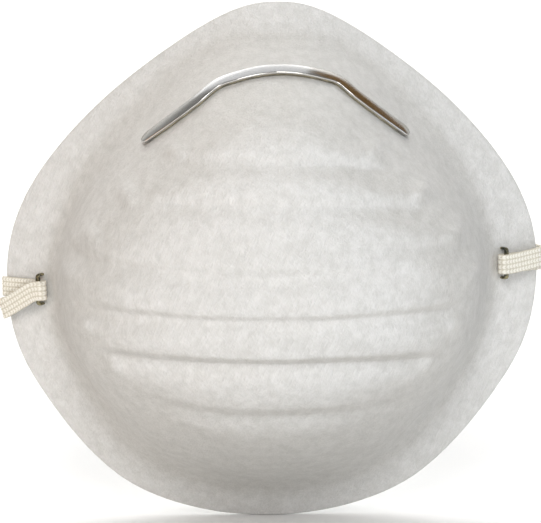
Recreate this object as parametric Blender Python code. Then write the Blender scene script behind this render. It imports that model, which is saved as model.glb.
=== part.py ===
"""Disposable cup-shaped dust mask: pressed layers, nose clip and a stapled elastic headband.

Metres, +Z up. The origin is the centre of the face opening, the cup bulges towards -Y and
the wearer's face is on the +Y side. Lengths below are in millimetres, turned by MM.
"""
import math

import bmesh
import bpy
import numpy as np
from mathutils import Vector

MM = 0.001

# Rim of the cup, seen from the front: right half from the nose to the chin, (x, z).
RIM_HALF = [
    (0.0, 70.6),
    (17.8, 65.2),
    (44.8, 45.0),
    (63.2, 21.6),
    (68.2, -1.5),
    (61.2, -26.0),
    (36.0, -54.0),
    (0.0, -62.8),
]
RIM_SWEEP = 4.0          # the cheek edges lie this far behind the nose and chin edges
LEAN = 0.0245            # the soft cup leans: every point moves right by this share of its height

# Sections of the cup from the rim to the crown: (share of the rim's radius, depth).
SIDE_SECTION = [
    (1.0, 0.0),
    (0.94, 1.4),
    (0.88, 2.8),
    (0.835, 4.2),
    (0.80, 7.0),
    (0.775, 16.0),
    (0.735, 28.0),
    (0.63, 36.5),
    (0.44, 44.0),
    (0.20, 49.0),
    (0.0, 49.0),
]
NOSE_SECTION = [
    (1.0, 0.0),
    (0.95, 1.8),
    (0.89, 4.0),
    (0.84, 8.0),
    (0.79, 18.0),
    (0.74, 27.5),
    (0.62, 38.5),
    (0.42, 45.5),
    (0.20, 49.0),
    (0.0, 49.0),
]
CHIN_SECTION = [
    (1.0, 0.0),
    (0.94, 1.8),
    (0.88, 4.0),
    (0.82, 8.0),
    (0.75, 18.0),
    (0.65, 28.0),
    (0.50, 38.0),
    (0.32, 45.5),
    (0.14, 49.0),
    (0.0, 49.0),
]
BLEND_FROM = 0.20        # sine of the direction where the side section starts to give way
BLEND_TO = 0.95          # and where the nose or chin section is reached
# The cup is fuller beside the nose than its pointed rim: how much, where and how widely.
SHOULDER_SWELL = 0.032
SHOULDER_AT = 20.0       # degrees either side of the nose
SHOULDER_SPREAD = 14.0
SHOULDER_FADE = (0.84, 0.97)     # shares of the radius between which the swell dies away

# Layers, measured inwards from the outer face.
SHELL_THICK = 1.0
FILTER_THICK = 0.6
LINER_THICK = 0.6
GAP = 0.3                # space kept between touching pieces
STACK = SHELL_THICK + FILTER_THICK + LINER_THICK + 2 * GAP

# Pressed grooves between the stiffening ribs: (height at the middle, height at the ends,
# half length, depth).
GROOVES = [
    (35.5, 33.0, 30.0, 0.6),
    (25.5, 23.5, 38.0, 0.5),
    (8.5, 9.5, 47.0, 0.6),
    (-2.5, -2.0, 48.0, 0.7),
    (-13.5, -14.0, 43.0, 0.8),
    (-27.5, -25.0, 34.0, 0.4),
]
GROOVE_HALF_WIDTH = 1.8
GROOVE_FADE = (6.0, 3.0)         # a groove fades out from this far before its end to this far past it
# Round bosses where each rib ends: rows of one pitch, whose ends lie on a rounded diamond.
BOSS_ROWS = 6
BOSS_TOP = 37.0          # height of the uppermost row
BOSS_PITCH = 10.65
BOSS_WIDEST = 5.0        # height where the diamond is widest
BOSS_HALF = 49.4         # half its width there
BOSS_REACH_UP = 50.0     # it would close this far above
BOSS_REACH_DOWN = 60.0   # and this far below
BOSS_ROUNDING = 1.5      # 1 is a diamond with straight sides, 2 an arch
BOSS_RADIUS = 2.2
BOSS_HEIGHT = 0.7

RINGS_RIBBED = 22
RINGS_SMOOTH = 14
SEGMENTS = 48
CURVE_STEPS = 24         # points per span of the rim and section curves
RIM_INSET = 0.99999      # share of the radius that counts as the rim, just inside the curve's end
NORMAL_STEP = 0.05       # distance over which a surface's slope is measured
SHARP_ANGLE = 40         # degrees between faces that keep a sharp edge

# Nose clip: straight wings outside the creases and an arched middle between them, (x, z).
CLIP_LEFT_TIP = (-32.0, 37.5)
CLIP_LEFT_CREASE = (-14.0, 51.5)
CLIP_CREST = (0.0, 54.8)
CLIP_RIGHT_CREASE = (15.0, 52.0)
CLIP_RIGHT_TIP = (32.5, 38.5)
CLIP_WING_SHARES = (0.0, 0.4, 0.75)      # places of the route's points from tip to crease
CLIP_ARCH_POINTS = 7
CLIP_WIDTH = 4.2
CLIP_THICK = 0.8
CLIP_STATIONS = 25
STRIP_END_CUTS = (0.02, 0.3, 1.0)    # sections of a strip's rounded end, in end radii
ADHESIVE_WIDTH = 2.8
ADHESIVE_THICK = 0.4
ADHESIVE_MARGIN = 3.0    # the bead stops this far short of each end of the clip

# Elastic band and its staples.
BAND_WIDTH = 5.0
BAND_THICK = 1.0
STAPLE_CROWN = 7.6
STAPLE_WIRE_WIDE = 1.2
STAPLE_WIRE_THICK = 0.6
STAPLE_CLINCH = 2.6
CORNER_RADIUS = 0.5
LEFT_STAPLE = (-58.6, -2.5)
RIGHT_STAPLE = (58.8, 3.5)
LEFT_SKEW = -28.0        # degrees the upper layer of band turns from the lower one
RIGHT_SKEW = 6.0
TAIL_SETBACK = 0.6       # the tail ends this far inside the rim
TAIL_LIFT = 0.6          # and rises this much as the flange turns up towards the rim
TAIL_FLAT_FROM = 1.5     # from here to the fold the tail lies flat
FOLD_SETBACK = 0.8       # the fold starts this far inside the crown
FOLD_STEPS = 4
WRAP_CLEAR = 2 * GAP + BAND_THICK / 2    # the band's middle keeps this far off the cup's edge
WRAP_BACK = STACK + 1.5 * WRAP_CLEAR     # and this far behind its outer face
RUN_IN = 2.2             # length over which the band lines up with the hinge before its end
LEFT_PIVOT = (-64.0, 9.8, -10.0)
RIGHT_PIVOT = (64.0, 9.8, 4.6)

# Free band behind the cup, from the left pivot to the right one, in the plane of the pivots.
BAND_ROUTE = [
    (-64.0, -10.0),
    (-57.5, -9.2),
    (-53.2, -9.5),
    (-49.2, -11.0),
    (-46.3, -13.8),
    (-43.6, -18.4),
    (-40.4, -24.4),
    (-35.8, -31.0),
    (-29.8, -37.6),
    (-22.4, -43.6),
    (-13.8, -48.0),
    (-4.4, -50.3),
    (5.4, -50.1),
    (15.0, -47.3),
    (23.8, -42.2),
    (31.2, -35.2),
    (37.2, -27.0),
    (41.8, -18.2),
    (45.2, -9.4),
    (47.8, -2.8),
    (50.4, 0.8),
    (54.2, 3.0),
    (58.2, 3.9),
    (64.0, 4.6),
]
BAND_POINTS = 19
BAND_SIDES = 2           # bevel resolution

COLOURS = {
    "outer_shell": ((0.86, 0.86, 0.85), 0.9, 0.0),
    "filter_layer": ((0.80, 0.83, 0.86), 0.9, 0.0),
    "inner_liner": ((0.88, 0.88, 0.87), 0.8, 0.0),
    "nose_clip": ((0.62, 0.61, 0.58), 0.3, 1.0),
    "clip_adhesive": ((0.85, 0.82, 0.70), 0.4, 0.0),
    "staple": ((0.42, 0.40, 0.33), 0.35, 1.0),
    "band": ((0.84, 0.82, 0.74), 0.85, 0.0),
}


def clear_scene():
    """Remove every object that the scene holds."""
    for item in list(bpy.data.objects):
        bpy.data.objects.remove(item, do_unlink=True)


def make_material(name, key):
    """Return a plain material for one kind of piece."""
    colour, roughness, metallic = COLOURS[key]
    material = bpy.data.materials.new(name)
    material.use_nodes = True
    shader = material.node_tree.nodes["Principled BSDF"]
    shader.inputs["Base Color"].default_value = (*colour, 1.0)
    shader.inputs["Roughness"].default_value = roughness
    shader.inputs["Metallic"].default_value = metallic
    return material


def smoothstep(low, high, value):
    """Return 0 below low, 1 above high and a smooth rise between."""
    t = np.clip((value - low) / (high - low), 0.0, 1.0)
    return t * t * (3.0 - 2.0 * t)


def through_points(points, per_span, closed=False):
    """Return a smooth curve that passes through the points (Catmull-Rom)."""
    array = np.array(points, dtype=float)
    if closed:
        padded = np.vstack([array[-1:], array, array[:2]])
    else:
        padded = np.vstack([2 * array[0] - array[1], array, 2 * array[-1] - array[-2]])
    curve = []
    for a, b, c, d in zip(padded, padded[1:], padded[2:], padded[3:]):
        for t in np.arange(per_span) / per_span:
            curve.append(0.5 * (2 * b + (c - a) * t + (2 * a - 5 * b + 4 * c - d) * t**2
                                + (3 * b - a - 3 * c + d) * t**3))
    if not closed:
        curve.append(array[-1])
    return np.array(curve)


def near_points(points, per_span):
    """Return a smoother curve that is drawn towards the points (cubic B-spline)."""
    array = np.array([points[0]] * 2 + list(points) + [points[-1]] * 2, dtype=float)
    curve = []
    for a, b, c, d in zip(array, array[1:], array[2:], array[3:]):
        for t in np.arange(per_span) / per_span:
            curve.append(((1 - t)**3 * a + (3 * t**3 - 6 * t**2 + 4) * b
                          + (-3 * t**3 + 3 * t**2 + 3 * t + 1) * c + t**3 * d) / 6)
    curve.append(array[-1])
    return np.array(curve)


def spread(curve, count):
    """Return count points at equal distances along a curve."""
    steps = np.linalg.norm(np.diff(curve, axis=0), axis=1)
    travelled = np.concatenate([[0.0], np.cumsum(steps)])
    wanted = np.linspace(0.0, travelled[-1], count)
    return np.stack([np.interp(wanted, travelled, axis) for axis in curve.T], axis=1)


RIM_LEFT = [(-x, z) for x, z in reversed(RIM_HALF[1:-1])]
RIM_CURVE = through_points(RIM_HALF + RIM_LEFT, CURVE_STEPS, closed=True)
RIM_ANGLES = np.arctan2(RIM_CURVE[:, 1], RIM_CURVE[:, 0])
RIM_ORDER = np.argsort(RIM_ANGLES)
SECTIONS = [
    near_points(section, CURVE_STEPS)[::-1]
    for section in (SIDE_SECTION, NOSE_SECTION, CHIN_SECTION)
]
WIDEST = RIM_HALF[4][0]


def boss_places():
    """Return the right side's bosses, (x, z), from the uppermost row down."""
    places = []
    for row in range(BOSS_ROWS):
        z = BOSS_TOP - row * BOSS_PITCH
        reach = BOSS_REACH_UP if z > BOSS_WIDEST else BOSS_REACH_DOWN
        share = abs(z - BOSS_WIDEST) / reach
        places.append((BOSS_HALF * (1.0 - share**BOSS_ROUNDING), z))
    return places


BOSSES = boss_places()


def clip_line():
    """Return the clip's route over the shell, (x, z), from the left tip to the right one."""
    knots = np.array([CLIP_LEFT_CREASE, CLIP_CREST, CLIP_RIGHT_CREASE])
    arch = np.polyfit(knots[:, 0], knots[:, 1], 2)
    across = np.linspace(knots[0, 0], knots[2, 0], CLIP_ARCH_POINTS)
    middle = [(float(x), float(np.polyval(arch, x))) for x in across]
    left, right = [], []
    for share in CLIP_WING_SHARES:
        left.append(between(CLIP_LEFT_TIP, CLIP_LEFT_CREASE, share))
        right.append(between(CLIP_RIGHT_TIP, CLIP_RIGHT_CREASE, share))
    return left + middle + right[::-1]


def between(start, end, share):
    """Return the place this share of the way from start to end."""
    return tuple(a + (b - a) * share for a, b in zip(start, end))


def rim_radius(angle):
    """Return the distance from the origin to the rim in one direction."""
    radii = np.hypot(RIM_CURVE[:, 0], RIM_CURVE[:, 1])
    return np.interp(angle, RIM_ANGLES[RIM_ORDER], radii[RIM_ORDER], period=2 * math.pi)


def relief(x, z):
    """Return how far the outer face stands proud at the bosses and dips at the grooves."""
    height = 0.0
    for middle, end, half_length, depth in GROOVES:
        line = middle + (end - middle) * (x / half_length)**2
        fade = 1.0 - smoothstep(half_length - GROOVE_FADE[0], half_length + GROOVE_FADE[1], abs(x))
        height -= depth * fade * math.exp(-((z - line) / GROOVE_HALF_WIDTH)**2)
    for boss_x, boss_z in BOSSES:
        distance = math.hypot(abs(x) - boss_x, z - boss_z)
        height += BOSS_HEIGHT * math.exp(-(distance / BOSS_RADIUS)**2)
    return height


def face_point(x, z, ribbed=False):
    """Return the point of the cup's outer face that lies behind (x, z) of the upright outline."""
    angle = math.atan2(z, x)
    radius = rim_radius(angle)
    share = math.hypot(x, z) / radius
    from_nose = abs(math.degrees(angle) - 90.0)
    swell = SHOULDER_SWELL * math.exp(-((from_nose - SHOULDER_AT) / SHOULDER_SPREAD)**2)
    inner = share * (1.0 - swell * (1.0 - smoothstep(*SHOULDER_FADE, share)))
    to_nose = smoothstep(BLEND_FROM, BLEND_TO, math.sin(angle))
    to_chin = smoothstep(BLEND_FROM, BLEND_TO, -math.sin(angle))
    weights = (1.0 - to_nose - to_chin, to_nose, to_chin)
    depth = sum(w * np.interp(inner, s[:, 0], s[:, 1]) for w, s in zip(weights, SECTIONS))
    sweep = RIM_SWEEP * (radius * math.cos(angle) / WIDEST)**2 * share**2
    if ribbed:
        depth += relief(x, z)
    return Vector((x + LEAN * z, sweep - depth, z))


def face_normal(x, z):
    """Return the outward normal of the smooth outer face at (x, z)."""
    across = face_point(x + NORMAL_STEP, z) - face_point(x - NORMAL_STEP, z)
    up = face_point(x, z + NORMAL_STEP) - face_point(x, z - NORMAL_STEP)
    return across.cross(up).normalized()


def ring_shares(count):
    """Return the shares of the radius at which rings of points lie, from the rim inwards."""
    section = SECTIONS[0][::-1] * np.array([WIDEST, 1.0])
    return spread(section, count + 1)[:-1, 0] / WIDEST


def face_grid(count, offset, ribbed=False):
    """Return rings of points on the cup's face moved inwards by offset, and the crown's point."""
    rings = []
    for share in ring_shares(count):
        ring = []
        for index in range(SEGMENTS):
            angle = 2 * math.pi * index / SEGMENTS
            radius = rim_radius(angle) * share * RIM_INSET
            x = radius * math.cos(angle)
            z = radius * math.sin(angle)
            ring.append(face_point(x, z, ribbed) - face_normal(x, z) * offset)
        rings.append(ring)
    return rings, face_point(0.0, 0.0, ribbed) + Vector((0.0, offset, 0.0))


def object_from(mesh, name, key):
    """Turn a bmesh in millimetres into a named object with its material."""
    bmesh.ops.scale(mesh, vec=(MM, MM, MM), verts=mesh.verts)
    bmesh.ops.recalc_face_normals(mesh, faces=mesh.faces)
    data = bpy.data.meshes.new(name)
    mesh.to_mesh(data)
    mesh.free()
    data.shade_smooth()
    data.set_sharp_from_angle(angle=math.radians(SHARP_ANGLE))
    data.materials.append(make_material(name, key))
    item = bpy.data.objects.new(name, data)
    bpy.context.collection.objects.link(item)
    return item


def add_cap(mesh, rings, crown, flip):
    """Add one face of a layer to the mesh and return the vertices of its rim."""
    rows = [[mesh.verts.new(point) for point in ring] for ring in rings]
    middle = mesh.verts.new(crown)
    for outer, inner in zip(rows, rows[1:]):
        for index in range(SEGMENTS):
            after = (index + 1) % SEGMENTS
            first = (outer[index], outer[after], inner[after])
            second = (outer[index], inner[after], inner[index])
            for corners in (first, second):
                mesh.faces.new(corners[::-1] if flip else corners)
    for index in range(SEGMENTS):
        corners = [rows[-1][index], rows[-1][(index + 1) % SEGMENTS], middle]
        mesh.faces.new(corners[::-1] if flip else corners)
    return rows[0]


def make_layer(name, key, outside, inside, ribbed=False):
    """Build one pressed layer of the cup between two offsets from the outer face."""
    mesh = bmesh.new()
    rings = RINGS_RIBBED if ribbed else RINGS_SMOOTH
    front = add_cap(mesh, *face_grid(rings, outside, ribbed), flip=False)
    back = add_cap(mesh, *face_grid(RINGS_SMOOTH, inside), flip=True)
    for index in range(SEGMENTS):
        after = (index + 1) % SEGMENTS
        mesh.faces.new([front[after], front[index], back[index], back[after]])
    return object_from(mesh, name, key)


def sweep_section(mesh, stations):
    """Skin a closed body over a list of four-cornered sections."""
    rows = [[mesh.verts.new(corner) for corner in station] for station in stations]
    for first, second in zip(rows, rows[1:]):
        for index in range(4):
            after = (index + 1) % 4
            mesh.faces.new([first[index], first[after], second[after], second[index]])
    mesh.faces.new(rows[0][::-1])
    mesh.faces.new(rows[-1])


def flat_section(centre, along_width, normal, width, thick):
    """Return the four corners of a flat strip's cross-section."""
    side = along_width * (width / 2)
    rise = normal * (thick / 2)
    return [centre - side - rise, centre + side - rise, centre + side + rise, centre - side + rise]


def strip_cuts(travelled, width, margin):
    """Return the distances along a strip's route at which its sections lie."""
    radius = width / 2
    last = travelled[-1] - margin
    cuts = [margin + radius * part for part in STRIP_END_CUTS]
    cuts += [at for at in travelled if cuts[-1] + 1.0 < at < last - radius - 1.0]
    return cuts + [last - radius * part for part in reversed(STRIP_END_CUTS)]


def make_strip(name, key, width, thick, height, margin):
    """Build a strip that follows the clip's route, height above the shell at its middle."""
    route = spread(through_points(clip_line(), CURVE_STEPS), CLIP_STATIONS)
    points = np.array([face_point(x, z) + face_normal(x, z) * height for x, z in route])
    steps = np.linalg.norm(np.diff(points, axis=0), axis=1)
    travelled = np.concatenate([[0.0], np.cumsum(steps)])
    radius = width / 2
    stations = []
    for at in strip_cuts(travelled, width, margin):
        places = [
            [np.interp(at + shift, travelled, axis) for axis in route.T]
            for shift in (-0.5, 0.0, 0.5)
        ]
        normal = face_normal(*places[1])
        along = face_point(*places[2]) - face_point(*places[0])
        across = normal.cross(along).normalized()
        from_end = min(at - margin, travelled[-1] - margin - at, radius)
        half = math.sqrt(radius**2 - (radius - from_end)**2)
        centre = face_point(*places[1]) + normal * height
        stations.append(flat_section(centre, across, normal, 2 * half, thick))
    mesh = bmesh.new()
    sweep_section(mesh, stations)
    return object_from(mesh, name, key)


def staple_frame(place):
    """Return a staple's middle on the shell, its outward, crown and normal directions."""
    x, z = place
    normal = face_normal(x, z)
    outward = Vector((0.0, 0.0, 1.0)).cross(normal).normalized()
    if outward.x * x < 0:
        outward = -outward
    crown = Vector((0.0, 0.0, 1.0))
    crown = (crown - normal * crown.dot(normal)).normalized()
    return face_point(x, z), outward, crown, normal


def crown_height():
    """Return the height of the crown's middle above the shell."""
    return GAP + BAND_THICK + GAP + STAPLE_WIRE_THICK / 2


def make_staple(name, place):
    """Build a wire staple: crown in front, two legs through the layers, ends turned in."""
    middle, outward, crown, normal = staple_frame(place)
    top = crown_height()
    bottom = -(STACK + GAP + STAPLE_WIRE_THICK / 2)
    half = STAPLE_CROWN / 2
    bend = CORNER_RADIUS
    outline = [(half - STAPLE_CLINCH, bottom)]
    for start, centre_h in ((-90, bottom + bend), (0, top - bend)):
        for part in range(4):
            turn = math.radians(start + 30 * part)
            outline.append((half - bend + bend * math.cos(turn), centre_h + bend * math.sin(turn)))
    outline += [(-across, height) for across, height in reversed(outline)]
    points = [middle + crown * across + normal * height for across, height in outline]
    stations = []
    for index, centre in enumerate(points):
        along = points[min(index + 1, len(points) - 1)] - points[max(index - 1, 0)]
        rise = outward.cross(along).normalized()
        stations.append(flat_section(centre, outward, rise, STAPLE_WIRE_WIDE, STAPLE_WIRE_THICK))
    mesh = bmesh.new()
    sweep_section(mesh, stations)
    return object_from(mesh, name, "staple")


def make_leg_cutter(places):
    """Build the tool that opens the holes for the staples' legs, a gap wider than the wire."""
    mesh = bmesh.new()
    reach = 2 * STACK
    for place in places:
        middle, outward, crown, normal = staple_frame(place)
        for side in (-1, 1):
            centre = middle + crown * (side * STAPLE_CROWN / 2) - normal * (STACK / 2)
            wide = STAPLE_WIRE_WIDE + 2 * GAP
            thick = STAPLE_WIRE_THICK + 2 * GAP
            ends = [centre - normal * reach, centre + normal * reach]
            sweep_section(mesh, [flat_section(end, outward, crown, wide, thick) for end in ends])
    cutter = object_from(mesh, "leg_cutter", "staple")
    cutter.hide_render = True
    cutter.display_type = "WIRE"
    return cutter


def cut_holes(item, cutter):
    """Open the holes for the staples' legs in one layer."""
    cut = item.modifiers.new("leg_holes", "BOOLEAN")
    cut.operation = "DIFFERENCE"
    cut.solver = "EXACT"
    cut.object = cutter


def band_lane(edge, skew):
    """Return a band end's lane in its staple's frame: (outward, along the crown, height, turn).

    It runs from the tail under the crown, back over the crown and round the cup's edge.
    """
    low = GAP + BAND_THICK / 2
    high = crown_height() + STAPLE_WIRE_THICK / 2 + GAP + BAND_THICK / 2
    radius = (high - low) / 2
    drift = edge * math.tan(math.radians(skew))
    lane = [
        (edge - TAIL_SETBACK, 0.0, low + TAIL_LIFT, 0.0),
        (TAIL_FLAT_FROM, 0.0, low + 0.1, 0.0),
    ]
    for part in range(FOLD_STEPS + 1):
        turn = math.pi * part / FOLD_STEPS
        out = -FOLD_SETBACK - radius * math.sin(turn)
        lane.append((out, 0.0, low + radius - radius * math.cos(turn), skew * part / FOLD_STEPS))
    lane += [
        (edge * 0.5, drift * 0.5, high, skew),
        (edge - 0.3, drift, high - 0.2, skew * 0.8),
        (edge + WRAP_CLEAR * 1.05, drift, high - 1.5, skew * 0.5),
        (edge + WRAP_CLEAR * 1.3, drift, -STACK / 2, 0.0),
        (edge + WRAP_CLEAR * 0.85, drift, 0.1 - WRAP_BACK, 0.0),
    ]
    return lane


def make_band_end(name, place, skew, pivot, towards):
    """Build the stapled end of the band, up to where it leaves the cup along the hinge."""
    middle, outward, crown, normal = staple_frame(place)
    rim = face_point(math.copysign(WIDEST * 0.9995, place[0]), place[1])
    lane = band_lane((rim - middle).dot(outward), skew)
    points = [middle + outward * u + crown * v + normal * h for u, v, h, _ in lane]
    turns = [math.radians(turn) for *_, turn in lane]
    widths = [crown * math.cos(turn) - outward * math.sin(turn) for turn in turns]
    hinge = (Vector(towards) - Vector(pivot)).normalized()
    points += [Vector(pivot) - hinge * reach for reach in (RUN_IN, GAP)]
    widths += [(crown - hinge * crown.dot(hinge)).normalized()] * 2
    stations = []
    for index, centre in enumerate(points):
        along = points[min(index + 1, len(points) - 1)] - points[max(index - 1, 0)]
        along.normalize()
        wide = (widths[index] - along * widths[index].dot(along)).normalized()
        stations.append(flat_section(centre, wide, along.cross(wide), BAND_WIDTH, BAND_THICK))
    mesh = bmesh.new()
    sweep_section(mesh, stations)
    return object_from(mesh, name, "band")


def make_headband():
    """Build the free length of band as a tube whose ends lie on the axis it swings about."""
    depth = LEFT_PIVOT[1]
    places = [(x, depth, z) for x, z in BAND_ROUTE]
    route = spread(through_points(places, CURVE_STEPS), BAND_POINTS)
    pivot = Vector(LEFT_PIVOT)
    curve = bpy.data.curves.new("headband", "CURVE")
    curve.dimensions = "3D"
    curve.bevel_depth = BAND_WIDTH / 2 * MM
    curve.bevel_resolution = BAND_SIDES
    curve.use_fill_caps = True
    spline = curve.splines.new("POLY")
    spline.points.add(len(route) - 1)
    for point, place in zip(spline.points, route):
        point.co = (*((Vector(place) - pivot) * MM), 1.0)
    curve.materials.append(make_material("headband", "band"))
    item = bpy.data.objects.new("headband", curve)
    item.location = pivot * MM
    bpy.context.collection.objects.link(item)
    return item


def build():
    """Build every piece of the mask."""
    clear_scene()
    filter_from = SHELL_THICK + GAP
    liner_from = filter_from + FILTER_THICK + GAP
    layers = [
        make_layer("outer_shell", "outer_shell", 0.0, SHELL_THICK, ribbed=True),
        make_layer("filter_layer", "filter_layer", filter_from, filter_from + FILTER_THICK),
        make_layer("inner_liner", "inner_liner", liner_from, liner_from + LINER_THICK),
    ]
    cutter = make_leg_cutter([LEFT_STAPLE, RIGHT_STAPLE])
    for layer in layers:
        cut_holes(layer, cutter)
    bead_height = GAP + ADHESIVE_THICK / 2
    clip_height = 2 * GAP + ADHESIVE_THICK + CLIP_THICK / 2
    bead = (ADHESIVE_WIDTH, ADHESIVE_THICK, bead_height, ADHESIVE_MARGIN)
    make_strip("clip_adhesive", "clip_adhesive", *bead)
    make_strip("nose_clip", "nose_clip", CLIP_WIDTH, CLIP_THICK, clip_height, 0.0)
    make_staple("left_staple", LEFT_STAPLE)
    make_staple("right_staple", RIGHT_STAPLE)
    make_band_end("left_band_end", LEFT_STAPLE, LEFT_SKEW, LEFT_PIVOT, RIGHT_PIVOT)
    make_band_end("right_band_end", RIGHT_STAPLE, RIGHT_SKEW, RIGHT_PIVOT, LEFT_PIVOT)
    make_headband()


build()
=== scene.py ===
"""Disposable cup-shaped dust mask: a pressed felt cup, a nose clip and a stapled elastic band.

The scene is in metres with +Z up. The frame's origin is the centre of the face opening, the cup
bulges towards -Y and the wearer's face is on the +Y side. Sizes in the classes are in millimetres
and are turned into metres when a mesh is made.
"""

import logging
import math
from dataclasses import dataclass, field
from enum import Enum
from functools import cached_property

import bpy
import numpy as np
from mathutils import Matrix, Vector, noise


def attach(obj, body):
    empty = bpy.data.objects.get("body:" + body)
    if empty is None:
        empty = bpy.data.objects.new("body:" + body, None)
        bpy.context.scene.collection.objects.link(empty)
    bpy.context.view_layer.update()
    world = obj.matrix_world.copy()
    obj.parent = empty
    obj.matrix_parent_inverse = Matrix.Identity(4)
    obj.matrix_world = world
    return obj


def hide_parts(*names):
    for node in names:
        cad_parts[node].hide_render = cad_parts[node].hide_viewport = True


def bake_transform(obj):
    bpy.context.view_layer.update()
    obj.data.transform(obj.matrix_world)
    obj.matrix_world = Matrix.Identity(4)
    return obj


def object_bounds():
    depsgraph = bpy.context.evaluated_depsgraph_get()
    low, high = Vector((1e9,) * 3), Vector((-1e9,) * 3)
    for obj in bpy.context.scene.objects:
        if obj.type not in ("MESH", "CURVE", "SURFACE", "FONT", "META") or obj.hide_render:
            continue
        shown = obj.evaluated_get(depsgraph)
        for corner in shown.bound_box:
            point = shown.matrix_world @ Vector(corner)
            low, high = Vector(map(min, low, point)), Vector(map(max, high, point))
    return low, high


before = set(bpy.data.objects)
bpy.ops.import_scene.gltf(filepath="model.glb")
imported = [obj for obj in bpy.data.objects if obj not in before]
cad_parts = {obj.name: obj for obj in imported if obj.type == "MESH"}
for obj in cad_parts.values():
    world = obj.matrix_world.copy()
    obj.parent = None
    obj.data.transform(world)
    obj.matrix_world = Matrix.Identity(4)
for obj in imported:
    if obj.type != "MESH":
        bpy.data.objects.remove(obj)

CAD_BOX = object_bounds()
LOG = logging.getLogger("dust_mask")
MM = 0.001

Array = np.ndarray


def linear_colour(value: str) -> tuple[float, float, float, float]:
    """Turn an sRGB hex colour into linear light.

    Args:
        value: Six hex digits after a hash sign.

    Returns:
        Red, green, blue and an alpha of one.
    """
    channels = [int(value[place:place + 2], 16) / 255 for place in (1, 3, 5)]
    light = [c / 12.92 if c <= 0.04045 else ((c + 0.055) / 1.055) ** 2.4 for c in channels]
    return (light[0], light[1], light[2], 1.0)


def smoothstep(low: float, high: float, value: Array | float) -> Array:
    """Rise smoothly from 0 at low to 1 at high.

    Args:
        low: Where the rise starts.
        high: Where it ends.
        value: Where to read it.

    Returns:
        The height of the rise.
    """
    t = np.clip((np.asarray(value, dtype=float) - low) / (high - low), 0.0, 1.0)
    return t * t * (3.0 - 2.0 * t)


def unit(vectors: Array) -> Array:
    """Return rows of vectors with their lengths made one."""
    return vectors / np.linalg.norm(vectors, axis=-1, keepdims=True)


def through_points(points: Array, steps: int, closed: bool = False) -> Array:
    """Draw a smooth curve through points (Catmull-Rom).

    Args:
        points: Rows of coordinates.
        steps: Points per span.
        closed: Whether the last point joins the first.

    Returns:
        Rows of points along the curve.
    """
    rows = np.asarray(points, dtype=float)
    if closed:
        rows = np.vstack([rows[-1:], rows, rows[:2]])
    else:
        rows = np.vstack([2 * rows[0] - rows[1], rows, 2 * rows[-1] - rows[-2]])
    t = (np.arange(steps) / steps)[:, None]
    spans = [
        0.5 * (2 * b + (c - a) * t + (2 * a - 5 * b + 4 * c - d) * t**2
               + (3 * b - a - 3 * c + d) * t**3)
        for a, b, c, d in zip(rows, rows[1:], rows[2:], rows[3:])
    ]
    return np.vstack(spans) if closed else np.vstack([*spans, rows[-2:-1]])


def near_points(points: Array, steps: int) -> Array:
    """Draw a rounder curve that is drawn towards points (cubic B-spline).

    Args:
        points: Rows of coordinates.
        steps: Points per span.

    Returns:
        Rows of points along the curve.
    """
    rows = np.array([points[0]] * 2 + list(points) + [points[-1]] * 2, dtype=float)
    t = (np.arange(steps) / steps)[:, None]
    spans = [
        ((1 - t)**3 * a + (3 * t**3 - 6 * t**2 + 4) * b
         + (-3 * t**3 + 3 * t**2 + 3 * t + 1) * c + t**3 * d) / 6
        for a, b, c, d in zip(rows, rows[1:], rows[2:], rows[3:])
    ]
    return np.vstack([*spans, rows[-1:]])


def travelled(curve: Array) -> Array:
    """Return the distance along a curve at each of its points."""
    return np.concatenate([[0.0], np.cumsum(np.linalg.norm(np.diff(curve, axis=0), axis=1))])


def spread(curve: Array, count: int) -> Array:
    """Place points at equal distances along a curve.

    Args:
        curve: Rows of points.
        count: How many points to return.

    Returns:
        Rows of points.
    """
    along = travelled(curve)
    wanted = np.linspace(0.0, along[-1], count)
    return np.stack([np.interp(wanted, along, axis) for axis in curve.T], axis=1)


def add_node(
    tree: bpy.types.NodeTree,
    kind: str,
    inputs: dict[str | int, object] | None = None,
    **settings: object,
) -> bpy.types.Node:
    """Add a shader node with its settings and its links.

    Args:
        tree: The material's node tree.
        kind: The node's type.
        inputs: A value or a linked socket for each input.
        settings: The node's own properties.

    Returns:
        The new node.
    """
    node = tree.nodes.new(kind)
    for name, value in settings.items():
        setattr(node, name, value)
    for name, value in (inputs or {}).items():
        if isinstance(value, bpy.types.NodeSocket):
            tree.links.new(value, node.inputs[name])
        else:
            node.inputs[name].default_value = value
    return node


def per_mm(size: float) -> float:
    """Return the scale that gives a pattern features of that size in millimetres."""
    return 1.0 / (size * MM)


class Layer(Enum):
    """Which pressed layer of the cup a finish belongs to."""

    SHELL = "outer_shell"
    FILTER = "filter_layer"
    LINER = "inner_liner"


@dataclass(frozen=True)
class Finish:
    """A material with a shader node whose plain values are set on its own sockets."""

    name: str
    colour: str
    roughness: float
    metallic: float = 0.0
    sheen: float = 0.0

    def start(self) -> tuple[bpy.types.Material, bpy.types.NodeTree, bpy.types.Node]:
        """Make the material with its plain values.

        Returns:
            The material, its node tree and its shader.
        """
        material = bpy.data.materials.new(self.name)
        material.use_nodes = True
        tree = material.node_tree
        shader = tree.nodes["Principled BSDF"]
        shader.inputs["Base Color"].default_value = linear_colour(self.colour)
        shader.inputs["Roughness"].default_value = self.roughness
        shader.inputs["Metallic"].default_value = self.metallic
        shader.inputs["Sheen Weight"].default_value = self.sheen
        return material, tree, shader


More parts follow.
